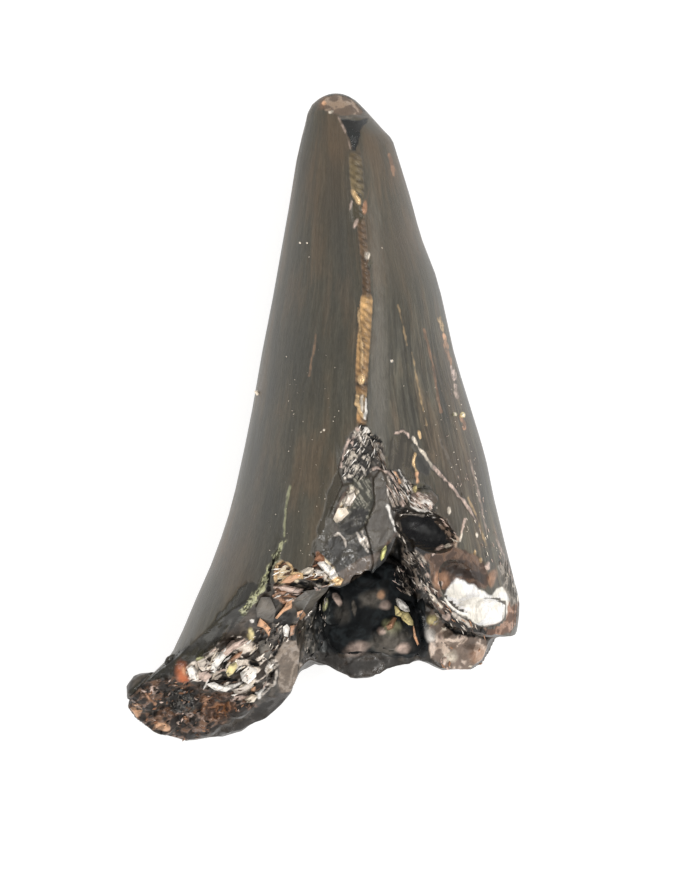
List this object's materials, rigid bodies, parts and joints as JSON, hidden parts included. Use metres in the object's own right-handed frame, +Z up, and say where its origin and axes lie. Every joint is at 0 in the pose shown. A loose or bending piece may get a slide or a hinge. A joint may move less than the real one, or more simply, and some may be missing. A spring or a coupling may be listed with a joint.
{
  "type": "mosasaur tooth",
  "caption": "Fossil mosasaur tooth with a ridged cutting edge, a worn tip and a broken, flared base whose pulp hollow holds a mineral crust.",
  "frame": {"origin": "on the table under the middle of the lying tooth's bounding box", "axes": "+Y along the crown towards the worn tip, +Z up through the cutting edge that faces the viewer, +X to the right lobe of the base"},
  "size_m": [0.0197, 0.0323, 0.0117],
  "materials": {
    "fossil_enamel": "glossy olive-black fossil enamel with fine lengthwise striations, over broken dentine stained copper and silver",
    "mineral_crust": "rough dark grey mineral crust with paler yellow and grey lumps"
  },
  "bodies": {
    "root": {"tooth": "fossil_enamel", "cavity_crust": "mineral_crust"}
  },
  "joints": []
}
